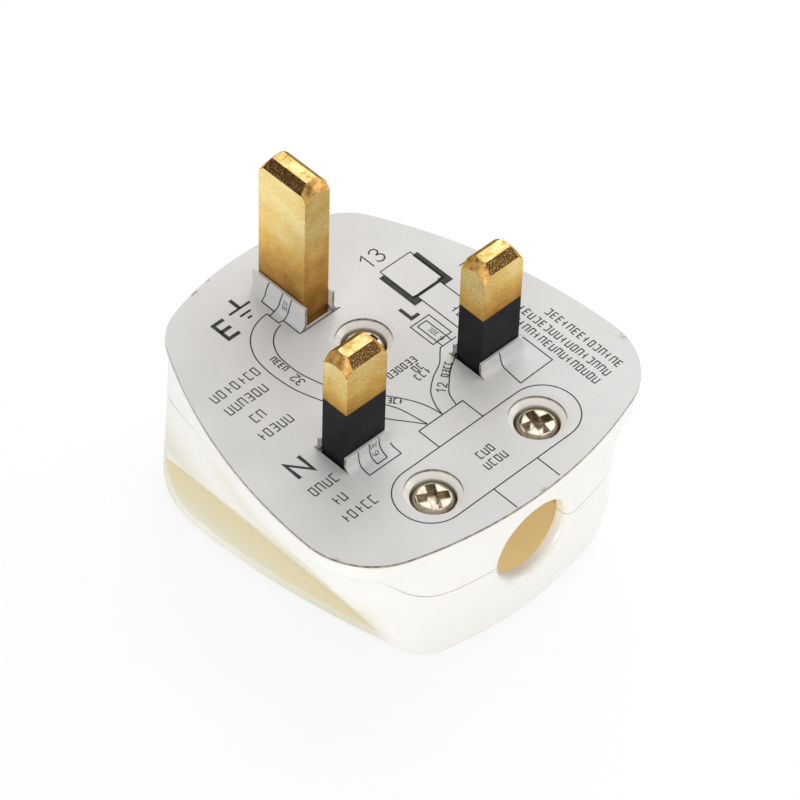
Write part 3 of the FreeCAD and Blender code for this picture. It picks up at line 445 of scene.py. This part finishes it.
def turn_screws(node, turns):
    """Screws of a node, each turned about its own axis as it was driven home."""
    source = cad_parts[node].data
    spots = [(Vector((x * MM, (y + PIN_ROW) * MM, 0)), Matrix.Rotation(math.radians(angle), 3, "Z"))
             for x, y, angle in turns]
    places = []
    for vertex in source.vertices:
        spot, turn = min(spots, key=lambda pair: (vertex.co.xy - pair[0].xy).length)
        places.append(turn @ (vertex.co - spot) + spot)
    data = bpy.data.meshes.new(node + "_turned")
    data.from_pydata(places, [], [list(face.vertices) for face in source.polygons])
    mesh = bmesh.new()
    mesh.from_mesh(data)
    bmesh.ops.remove_doubles(mesh, verts=mesh.verts, dist=1e-7)
    mesh.to_mesh(data)
    mesh.free()
    data.shade_smooth()
    data.set_sharp_from_angle(angle=math.radians(35))
    thing = bpy.data.objects.new(node + "_turned", data)
    bpy.context.scene.collection.objects.link(thing)
    set_material(thing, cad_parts[node].data.materials[0])
    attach(thing, "root")
    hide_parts(node)


# Print on the card. Places are in millimetres from the middle of the line pins, X right, Y to the earth pin.
# Words aren't drawn: rows of neutral strokes stand in for them.


def flat(point):
    """A place on the card's face."""
    return Vector((point[0], point[1] + PIN_ROW, CARD_TOP + INK_LIFT))


def ribbon(mesh, points, width, to_space=flat, closed=False):
    """A flat line of ink through the points."""
    count = len(points)
    left, right = [], []
    for index, point in enumerate(points):
        here = Vector(point)
        before = Vector(points[index - 1]) if index or closed else None
        after = Vector(points[(index + 1) % count]) if index < count - 1 or closed else None
        ways = [(b - a).normalized() for a, b in ((before, here), (here, after)) if a is not None and b is not None]
        way = sum(ways, Vector((0, 0))).normalized()
        reach = width / 2
        if len(ways) == 2:
            reach /= max(ways[0].dot(way), 0.5)
        side = Vector((-way.y, way.x)) * reach
        left.append(mesh.verts.new(to_space(here + side)))
        right.append(mesh.verts.new(to_space(here - side)))
    for index in range(count if closed else count - 1):
        after = (index + 1) % count
        mesh.faces.new((left[index], right[index], right[after], left[after]))


def patch(mesh, x0, y0, x1, y1):
    """A filled rectangle of ink."""
    ribbon(mesh, [(x0, (y0 + y1) / 2), (x1, (y0 + y1) / 2)], y1 - y0)


def smooth_line(points, steps=8):
    """Rounded way through the points."""
    ends = [Vector(p) for p in points]
    ends = [ends[0] * 2 - ends[1]] + ends + [ends[-1] * 2 - ends[-2]]
    line = []
    for a, b, c, d in zip(ends, ends[1:], ends[2:], ends[3:]):
        for step in range(steps):
            t = step / steps
            line.append(0.5 * (2 * b + (c - a) * t + (2 * a - 5 * b + 4 * c - d) * t * t
                               + (3 * b - a - 3 * c + d) * t * t * t))
    return line + [ends[-2]]


def stadium(x0, x1, y0, y1):
    """Outline with two straight sides and two round ends."""
    radius = (y1 - y0) / 2
    middle = (y0 + y1) / 2
    turn = [math.radians(-90 + 9 * i) for i in range(21)]
    right = [(x1 - radius + radius * math.cos(a), middle + radius * math.sin(a)) for a in turn]
    left = [(x0 + radius - radius * math.cos(a), middle - radius * math.sin(a)) for a in turn]
    return right + left


# Strokes of each figure in a box of height 1.
FIGURES = {
    "1": [[(0.05, 0.75), (0.35, 1.0), (0.35, 0.0)]],
    "2": [[(0.02, 0.76), (0.1, 0.93), (0.3, 1.0), (0.5, 0.93), (0.58, 0.74), (0.5, 0.54), (0.2, 0.26), (0.02, 0.0),
           (0.6, 0.0)]],
    "3": [[(0.03, 0.82), (0.14, 0.96), (0.32, 1.0), (0.5, 0.92), (0.55, 0.75), (0.46, 0.6), (0.26, 0.54)],
          [(0.26, 0.54), (0.5, 0.47), (0.6, 0.28), (0.5, 0.08), (0.3, 0.0), (0.12, 0.05), (0.0, 0.2)]],
    "6": [[(0.55, 0.85), (0.42, 0.99), (0.25, 0.98), (0.08, 0.78), (0.02, 0.4), (0.08, 0.12), (0.28, 0.0),
           (0.5, 0.08), (0.58, 0.3), (0.5, 0.52), (0.3, 0.6), (0.1, 0.48), (0.03, 0.35)]],
    "E": [[(0.6, 1.0), (0.0, 1.0), (0.0, 0.0), (0.62, 0.0)], [(0.0, 0.5), (0.56, 0.5)]],
    "L": [[(0.0, 1.0), (0.0, 0.0), (0.6, 0.0)]],
    "N": [[(0.0, 0.0), (0.0, 1.0), (0.78, 0.0), (0.78, 1.0)]],
}


def turned(origin, angle):
    """Way from a text line's own axes to the card."""
    c, s = math.cos(math.radians(angle)), math.sin(math.radians(angle))
    return lambda p: (origin[0] + p[0] * c - p[1] * s, origin[1] + p[0] * s + p[1] * c)


def figures(mesh, text, origin, height, width, angle, pitch, to_space=flat):
    """Plain figures and single letters from strokes."""
    spot = turned(origin, angle)
    for index, figure in enumerate(text):
        for stroke in FIGURES[figure]:
            ribbon(mesh, [spot(((x + index * pitch) * height, y * height)) for x, y in stroke], width, to_space)


# Strokes that stand in for letters, in a box of height 1, and their pitch in heights.
MARK_PITCH = 0.86
MARKS = ([[(0.08, 0.0), (0.08, 1.0), (0.58, 1.0), (0.58, 0.0)]],
         [[(0.08, 1.0), (0.08, 0.0), (0.58, 0.0), (0.58, 1.0)]],
         [[(0.58, 1.0), (0.12, 1.0), (0.12, 0.0), (0.58, 0.0)]],
         [[(0.1, 0.0), (0.1, 1.0), (0.56, 1.0), (0.56, 0.0), (0.1, 0.0)]],
         [[(0.08, 1.0), (0.56, 1.0), (0.56, 0.0), (0.08, 0.0)], [(0.14, 0.5), (0.56, 0.5)]],
         [[(0.33, 0.0), (0.33, 1.0)], [(0.33, 0.5), (0.6, 0.5)]])


def word_strokes(mesh, origin, length, height, width, angle, seed, to_space=flat):
    """Neutral strokes in place of a word, in the rhythm of its letters."""
    pick = random.Random(seed)
    spot = turned(origin, angle)
    pitch = height * MARK_PITCH
    count = max(int(length / pitch + 0.3), 1)
    for index in range(count):
        for stroke in pick.choice(MARKS):
            ribbon(mesh, [spot((index * pitch + x * height, y * height)) for x, y in stroke], width, to_space)


def folded(axis):
    """Way up a flap: first value along it, second the distance from the start of its bend, negative on the card."""
    reach = FLAP_BEND - INK_LIFT

    def place(point):
        along, up = point
        turn = min(max(up / FLAP_BEND, 0), math.pi / 2)
        away = FLAP_FACE + FLAP_BEND - min(up, 0) - reach * math.sin(turn)
        height = CARD_TOP + FLAP_BEND - reach * math.cos(turn) + max(up - FLAP_BEND * math.pi / 2, 0)
        if axis == "y":
            return Vector((along, PIN_ROW - away, height))
        return Vector((-away, PIN_ROW - along, height))

    return place


# Widths of the thin and the heavy strokes (mm), and the usual pitch of figures in heights of a figure.
LINE, BOLD = 0.16, 0.52
PITCH = 0.82

# Text, place, height, stroke width, angle and pitch.
LETTERING = (
    ("E", (-10.2, 22.6), 2.85, BOLD, 0, PITCH),
    ("L", (8.3, 10.15), 2.1, BOLD, 0, PITCH),
    ("N", (-19.15, 0.45), 2.75, BOLD, 0, PITCH),
    ("13", (10.3, 19.6), 2.3, 0.2, 0, 0.72),
    ("32", (-8.15, 11.3), 1.15, LINE, 90, PITCH),
    ("12", (2.75, -1.35), 1.1, LINE, 38, PITCH),
    ("6", (9.05, 5.15), 0.8, 0.09, 90, PITCH),
)

# Place, length, height, stroke width, angle and seed.
WORDS = (
    ((-8.15, 14.2), 3.0, 0.8, LINE, 90, 3),
    ((-3.4, 2.2), 1.9, 0.75, LINE, -48, 5),
    ((-1.6, -11.7), 3.3, 1.05, LINE, 0, 7),
    ((-2.1, -13.5), 3.6, 1.05, LINE, 0, 8),
    ((4.7, 0.25), 2.9, 0.8, LINE, 34, 9),
    ((-0.5, 4.7), 5.2, 0.92, LINE, 0, 11),
    ((2.5, 3.4), 2.1, 0.92, LINE, 0, 12),
    ((1.8, 2.25), 2.9, 0.92, LINE, 0, 13),
    ((14.0, 4.2), 4.4, 1.2, LINE, 90, 15),
    ((9.05, 6.1), 1.5, 0.62, 0.09, 90, 17),
    ((-18.5, 15.9), 7.4, 1.27, LINE, 0, 21),
    ((-18.5, 13.3), 7.1, 1.27, LINE, 0, 22),
    ((-17.1, 10.4), 2.4, 1.27, LINE, 0, 23),
    ((-18.5, 7.7), 5.9, 1.27, LINE, 0, 24),
    ((-19.9, -2.75), 4.4, 1.27, LINE, 0, 25),
    ((-19.0, -5.55), 2.3, 1.27, LINE, 0, 26),
    ((-20.0, -8.25), 5.2, 1.27, LINE, 0, 27),
    ((18.0, -12.4), 14.2, 1.05, LINE, 90, 31),
    ((19.85, -12.4), 25.9, 1.05, LINE, 90, 32),
    ((21.9, -12.4), 13.1, 1.05, LINE, 90, 33),
)

# Filled bars of the earth symbol and of the fuse's holder: two opposite corners.
BARS = (
    (-7.5, 25.33, -4.1, 25.67), (-6.7, 24.25, -5.0, 24.57), (-6.2, 23.45, -5.5, 23.75),
    (10.1, 11.4, 10.95, 17.7), (10.95, 11.4, 11.4, 12.7), (15.85, 11.5, 16.7, 17.8),
    (15.2, 11.5, 15.85, 12.8), (11.4, 12.2, 15.2, 12.65),
)
EARTH_STEM = ((-5.8, 27.3), (-5.8, 25.5))

STRAIGHT_LINES = (
    [(-3.33, 17.42), (3.3, 17.42)],
    [(-3.83, -3.6), (3.4, -3.6), (3.4, -7.05)],
    [(-3.83, -3.6), (-3.83, -7.05)],
    [(-3.75, -16.05), (-3.75, -19.9)],
    [(3.45, -16.05), (3.45, -19.75)],
    [(7.5, 4.35), (10.2, 4.35)],
    [(11.4, 12.3), (11.4, 2.6)],
    [(15.25, 12.3), (15.25, 2.6)],
    [(7.9, 4.35), (7.9, 8.7), (9.4, 8.7), (9.4, 4.35)],
    [(10.47, -6.3), (16.0, -6.2), (16.05, -0.6)],
)

# Both sides of the earth wire, the free side of the neutral wire and both sides of the live wire.
CURVED_LINES = (
    [(-3.96, 22.6), (-5.5, 22.4), (-7.2, 21.7), (-8.8, 20.3), (-9.9, 18.3), (-10.3, 16.2), (-10.35, 14.2),
     (-10.1, 11.6), (-9.5, 9.4), (-8.6, 7.0), (-7.2, 3.8), (-5.3, 0.5), (-3.8, -1.5), (-2.3, -3.5)],
    [(-4.0, 20.14), (-5.4, 19.6), (-6.7, 18.5), (-7.6, 16.8), (-7.85, 15.0), (-7.8, 12.8), (-7.1, 9.9),
     (-6.2, 7.4), (-5.0, 4.8), (-4.0, 2.6), (-3.0, 0.3), (-2.3, -3.4)],
    [(-5.6, 4.9), (-4.2, 4.3), (-3.0, 3.4), (-1.35, 1.0), (-0.35, -1.2), (0.1, -3.5)],
    [(0.1, -3.5), (0.5, -2.0), (1.55, -0.1), (3.4, 1.4), (5.5, 2.5), (6.8, 3.7), (7.5, 4.35)],
    [(2.4, -3.5), (3.0, -1.8), (4.2, -0.5), (5.9, 0.95), (8.0, 2.2)],
)

# Outline of the cord grip, of the fuse and of the live terminal, with the width of the line.
CLOSED_LINES = (
    (stadium(-14.25, 13.6, -16.05, -7.05), LINE),
    ([(10.95, 18.4), (16.05, 18.4), (16.05, 12.5), (10.95, 12.5)], 0.15),
    ([(7.2, 9.2), (10.3, 9.2), (10.3, 5.3), (7.2, 5.3)], LINE),
)

# Print that runs up the flaps: distance along the flap, and from the start of its bend.
LINE_FLAP_CURVES = (
    [(-12.7, 2.6), (-12.55, 1.4), (-12.62, 0.7), (-12.78, 0), (-12.92, -1.35)],
    [(-10.97, 2.6), (-10.8, 2.0), (-10.78, 1.06), (-10.88, 0.35), (-11.02, -0.7)],
    [(-9.33, 2.6), (-9.19, 1.1), (-9.23, 0.26), (-9.43, -0.7)],
    [(10.6, 2.6), (10.92, 1.25), (10.81, 0.34), (10.7, -0.7), (10.47, -2.97)],
)
EARTH_FLAP_CURVES = (
    [(-23.9, 3.85), (-24.4, 2.2), (-24.6, 1.0), (-24.56, 0.25)],
    [(-21.45, 3.85), (-21.92, 2.2), (-22.15, 1.2), (-22.24, 0.4), (-22.1, -0.69)],
    [(-19.9, 3.85), (-20.32, 2.1), (-20.5, 0.9), (-20.44, 0.2), (-20.46, -0.67)],
)
LINE_FLAP_LINES = (
    [(-12.92, -1.35), (-7.81, -1.38), (-7.74, -0.2)],
    [(-7.74, -0.2), (-7.72, 0.3), (-7.7, 0.6)],
    [(-11.02, -0.7), (-9.43, -0.7)],
)
EARTH_FLAP_LINES = (
    [(-24.56, 0.25), (-22.24, 0.22)],
    [(-22.6, -0.63), (-22.1, -0.69), (-20.46, -0.67)],
    [(-20.44, 0.02), (-17.42, 0.0)],
)


def print_mesh():
    """All of the print as one mesh of flat faces, in millimetres."""
    mesh = bmesh.new()
    for text, place, height, width, angle, pitch in LETTERING:
        figures(mesh, text, place, height, width, angle, pitch)
    for place, length, height, width, angle, seed in WORDS:
        word_strokes(mesh, place, length, height, width, angle, seed)
    for corners in BARS:
        patch(mesh, *corners)
    ribbon(mesh, EARTH_STEM, BOLD)
    for points in STRAIGHT_LINES:
        ribbon(mesh, points, LINE)
    for points in CURVED_LINES:
        ribbon(mesh, smooth_line(points), LINE)
    for points, width in CLOSED_LINES:
        ribbon(mesh, points, width, closed=True)
    line_flap, earth_flap = folded("y"), folded("x")
    for to_space, curves, lines in ((line_flap, LINE_FLAP_CURVES, LINE_FLAP_LINES),
                                    (earth_flap, EARTH_FLAP_CURVES, EARTH_FLAP_LINES)):
        for points in curves:
            ribbon(mesh, smooth_line(points, 6), LINE, to_space)
        for points in lines:
            ribbon(mesh, points, LINE, to_space)
    figures(mesh, "6", (-9.7, 0.35), 0.82, 0.1, 90, 0.8, line_flap)
    word_strokes(mesh, (-9.75, 1.3), 1.2, 0.7, 0.1, 90, 34, line_flap)
    word_strokes(mesh, (-20.75, 1.0), 2.2, 0.72, 0.1, 90, 35, earth_flap)
    return mesh


def add_print(material):
    """The print as a piece of its own on the card."""
    mesh = print_mesh()
    for vertex in mesh.verts:
        vertex.co *= MM
    bmesh.ops.recalc_face_normals(mesh, faces=mesh.faces)
    data = bpy.data.meshes.new("card_print")
    mesh.to_mesh(data)
    mesh.free()
    thing = bpy.data.objects.new("card_print", data)
    bpy.context.scene.collection.objects.link(thing)
    set_material(thing, material)
    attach(thing, "root")


# Stage


def add_floor():
    """White floor that takes the plug's shadow. The camera and reflections see it nearly as bright as the ground."""
    bpy.ops.mesh.primitive_plane_add(size=6, location=(0, 0, -0.00005))
    floor = bpy.context.object
    floor.name = "floor"
    material, tree, shader = new_material("floor_white")
    shader.inputs["Base Color"].default_value = (0.92, 0.92, 0.92, 1)
    shader.inputs["Roughness"].default_value = 0.9
    shader.inputs["Specular IOR Level"].default_value = 0.0
    out = [n for n in tree.nodes if n.type == "OUTPUT_MATERIAL"][0]
    path = tree.nodes.new("ShaderNodeLightPath")
    glow = tree.nodes.new("ShaderNodeEmission")
    glow.inputs["Strength"].default_value = 1.0
    blend = tree.nodes.new("ShaderNodeMixShader")
    seen = math_node(tree, "MAXIMUM", path.outputs["Is Camera Ray"], path.outputs["Is Glossy Ray"])
    tree.links.new(math_node(tree, "MULTIPLY", seen, FLOOR_GLOW), blend.inputs[0])
    tree.links.new(shader.outputs[0], blend.inputs[1])
    tree.links.new(glow.outputs[0], blend.inputs[2])
    tree.links.new(blend.outputs[0], out.inputs[0])
    set_material(floor, material)


def add_world():
    """Soft light that grows towards the top. The camera sees plain white."""
    world = bpy.data.worlds.new("studio")
    bpy.context.scene.world = world
    world.use_nodes = True
    tree = world.node_tree
    tree.nodes.clear()
    out = tree.nodes.new("ShaderNodeOutputWorld")
    light = tree.nodes.new("ShaderNodeBackground")
    light.inputs["Color"].default_value = (1.0, 0.99, 0.975, 1)
    coordinates = tree.nodes.new("ShaderNodeTexCoord")
    height = split_axes(tree, coordinates.outputs["Generated"])["Z"]
    level = tree.nodes.new("ShaderNodeMapRange")
    level.interpolation_type = "SMOOTHSTEP"
    for socket, value in (("From Min", WORLD_LOW), ("From Max", WORLD_HIGH),
                          ("To Min", WORLD_DIM), ("To Max", WORLD_BRIGHT)):
        level.inputs[socket].default_value = value
    tree.links.new(height, level.inputs["Value"])
    tree.links.new(level.outputs[0], light.inputs["Strength"])
    white = tree.nodes.new("ShaderNodeBackground")
    white.inputs["Color"].default_value = (1, 1, 1, 1)
    path = tree.nodes.new("ShaderNodeLightPath")
    blend = tree.nodes.new("ShaderNodeMixShader")
    tree.links.new(path.outputs["Is Camera Ray"], blend.inputs[0])
    tree.links.new(light.outputs[0], blend.inputs[1])
    tree.links.new(white.outputs[0], blend.inputs[2])
    tree.links.new(blend.outputs[0], out.inputs[0])


def add_lamp(name, place, size, power):
    """A round white area lamp that faces the plug."""
    data = bpy.data.lights.new(name, "AREA")
    data.shape = "DISK"
    data.size = size
    data.energy = power
    lamp = bpy.data.objects.new(name, data)
    bpy.context.scene.collection.objects.link(lamp)
    lamp.location = place
    lamp.rotation_euler = (Vector(LAMP_TARGET) - Vector(place)).to_track_quat("-Z", "Y").to_euler()


def add_camera():
    """Camera at the photograph's place."""
    turn, rise, roll = (math.radians(a) for a in (CAMERA_TURN, CAMERA_RISE, CAMERA_ROLL))
    back = Vector((math.sin(turn) * math.cos(rise), -math.cos(turn) * math.cos(rise), math.sin(rise)))
    right = (-back).cross(Vector((0, 0, 1))).normalized()
    up = back.cross(right)
    tilted_right = right * math.cos(roll) + up * math.sin(roll)
    tilted_up = up * math.cos(roll) - right * math.sin(roll)
    data = bpy.data.cameras.new("camera")
    data.sensor_width = 36
    data.lens = CAMERA_LENS
    data.clip_start = 0.01
    camera = bpy.data.objects.new("camera", data)
    bpy.context.scene.collection.objects.link(camera)
    place = Matrix((tilted_right, tilted_up, back)).transposed().to_4x4()
    place.translation = Vector(CAMERA_TARGET) * MM + back * CAMERA_DISTANCE
    camera.matrix_world = place
    bpy.context.scene.camera = camera


def main():
    dress_cad()
    turn_screws("cord_grip_screws", [(*spot, turn) for spot, turn in zip(FACE_SCREWS[1:], GRIP_SCREW_TURNS)])
    add_print(ink())
    add_floor()
    add_world()
    for lamp in LAMPS:
        add_lamp(*lamp)
    add_camera()
    bpy.context.scene.view_settings.view_transform = "Standard"


main()
